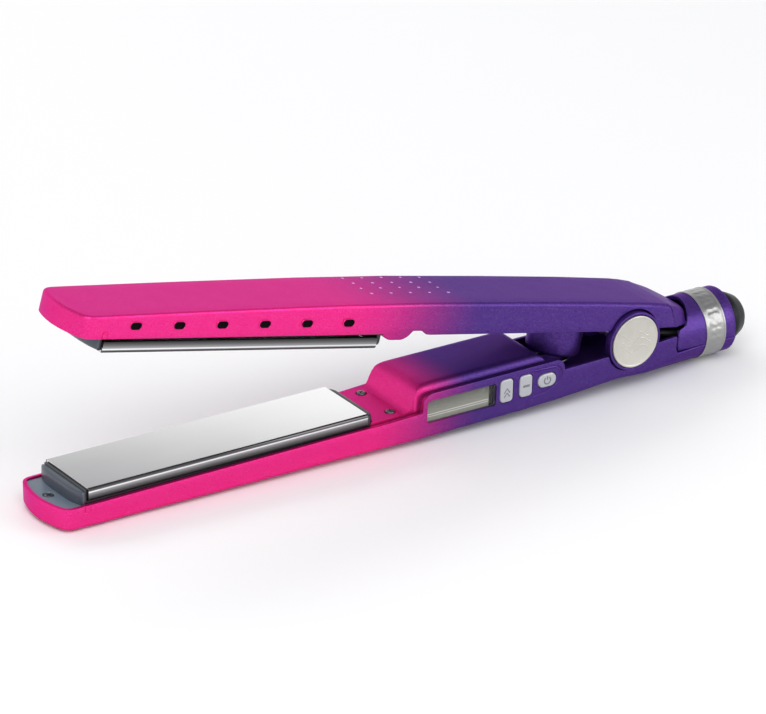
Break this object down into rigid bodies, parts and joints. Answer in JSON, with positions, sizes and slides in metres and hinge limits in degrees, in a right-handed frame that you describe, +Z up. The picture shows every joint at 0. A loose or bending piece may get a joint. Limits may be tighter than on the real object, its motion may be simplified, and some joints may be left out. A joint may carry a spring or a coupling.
{
  "type": "flat iron",
  "caption": "Two-arm hair straightener with floating heated plates, spring-opened hinge, side display, three push buttons and a swivelling cord outlet.",
  "frame": {"origin": "centre of the bounding box in plan, at the level the iron rests on, with the arms at rest open", "axes": "+X from the tips to the cord end, -Y the side with the display and buttons, +Z up from the lower arm to the upper arm"},
  "size_m": [0.3342, 0.0366, 0.0886],
  "materials": {
    "casing_paint": "gloss metallic paint, hot pink at the tips fading to deep purple at the hinge",
    "cover_paint": "the same metallic paint on the inner covers, slightly softer",
    "titanium_plate": "mirror polished titanium-coated plate",
    "holder_plastic": "slate grey heat-resistant plastic",
    "chrome_band": "polished bright band with a shallow pattern",
    "medallion_metal": "warm silver, finely textured",
    "gland_plastic": "satin black",
    "button_silver": "silver painted, satin",
    "switch_black": "black moulded",
    "display_clear": "clear acrylic window",
    "display_glass": "grey-green liquid crystal glass",
    "board_green": "green solder mask",
    "steel_parts": "zinc plated steel",
    "screw_steel": "dark plated steel",
    "bush_plastic": "natural acetal",
    "contact_brass": "bare brass",
    "heater_ceramic": "white alumina heater bar",
    "thermistor_bead": "epoxy bead",
    "mica": "flaky brown mica",
    "pad_silicone": "red-brown silicone",
    "loom_sleeve": "black glass-braid sleeve"
  },
  "bodies": {
    "lower_arm": {"lower_shell": "casing_paint", "lower_inner_cover": "cover_paint", "rear_cover": "casing_paint", "tail_band": "chrome_band", "brush_block": "switch_black", "control_board": "board_green", "lcd_module": "display_glass", "display_window": "display_clear", "button_up_switch": "switch_black", "button_down_switch": "switch_black", "button_power_switch": "switch_black", "hinge_pin_left": "steel_parts", "hinge_pin_right": "steel_parts", "hinge_cap_left": "medallion_metal", "hinge_cap_right": "medallion_metal", "arm_spring": "steel_parts", "lower_plate_holder": "holder_plastic", "lower_float_pad_front": "pad_silicone", "lower_float_pad_rear": "pad_silicone", "lower_tip_screw": "screw_steel", "lower_cover_screw_left": "screw_steel", "lower_cover_screw_right": "screw_steel", "tail_screw": "screw_steel", "mains_loom": "loom_sleeve", "board_loom": "loom_sleeve", "heater_loom": "loom_sleeve"},
    "lower_heated_plate": {"lower_plate": "titanium_plate", "lower_heater": "heater_ceramic", "lower_heater_clip": "steel_parts", "lower_thermistor": "thermistor_bead", "lower_mica_sheet": "mica"},
    "upper_arm": {"upper_shell": "casing_paint", "upper_inner_cover": "cover_paint", "hinge_bush_left": "bush_plastic", "hinge_bush_right": "bush_plastic", "upper_plate_holder": "holder_plastic", "upper_float_pad_front": "pad_silicone", "upper_float_pad_rear": "pad_silicone", "upper_tip_screw": "screw_steel", "upper_cover_screw_left": "screw_steel", "upper_cover_screw_right": "screw_steel", "upper_loom": "loom_sleeve"},
    "upper_heated_plate": {"upper_plate": "titanium_plate", "upper_heater": "heater_ceramic", "upper_heater_clip": "steel_parts", "upper_thermistor": "thermistor_bead", "upper_mica_sheet": "mica"},
    "button_up": {"button_up": "button_silver"},
    "button_down": {"button_down": "button_silver"},
    "button_power": {"button_power": "button_silver"},
    "cord_swivel": {"swivel_gland": "gland_plastic", "contact_ring_live": "contact_brass", "contact_ring_neutral": "contact_brass"}
  },
  "joints": [
    {"name": "arm_hinge", "type": "hinge", "parent": "lower_arm", "child": "upper_arm", "pos_m": [0.10054, 0, 0.02225], "axis": [0, -1, 0], "range_deg": [0, 12.35], "stiffness_Nm_per_rad": 0.9, "springref_deg": -20.05, "deforming": ["arm_spring"]},
    {"name": "lower_plate_float", "type": "slide", "parent": "lower_arm", "child": "lower_heated_plate", "axis": [0.0138, 0, -0.9999], "range_m": [0, 0.0005], "stiffness_N_per_m": 6000, "springref_m": -0.0005, "deforming": ["lower_float_pad_front", "lower_float_pad_rear"]},
    {"name": "upper_plate_float", "type": "slide", "parent": "upper_arm", "child": "upper_heated_plate", "axis": [0.2004, 0, 0.9797], "range_m": [0, 0.0005], "stiffness_N_per_m": 6000, "springref_m": -0.0005, "deforming": ["upper_float_pad_front", "upper_float_pad_rear"]},
    {"name": "button_up_press", "type": "slide", "parent": "lower_arm", "child": "button_up", "axis": [0, 1, 0], "range_m": [0, 0.0008], "stiffness_N_per_m": 500, "springref_m": -0.001},
    {"name": "button_down_press", "type": "slide", "parent": "lower_arm", "child": "button_down", "axis": [0, 1, 0], "range_m": [0, 0.0008], "stiffness_N_per_m": 500, "springref_m": -0.001},
    {"name": "button_power_press", "type": "slide", "parent": "lower_arm", "child": "button_power", "axis": [0, 1, 0], "range_m": [0, 0.0008], "stiffness_N_per_m": 500, "springref_m": -0.001},
    {"name": "cord_swivel", "type": "hinge", "parent": "lower_arm", "child": "cord_swivel", "pos_m": [0.15526, 0, 0.01411], "axis": [0.9999, 0, 0.0138], "continuous": true}
  ]
}
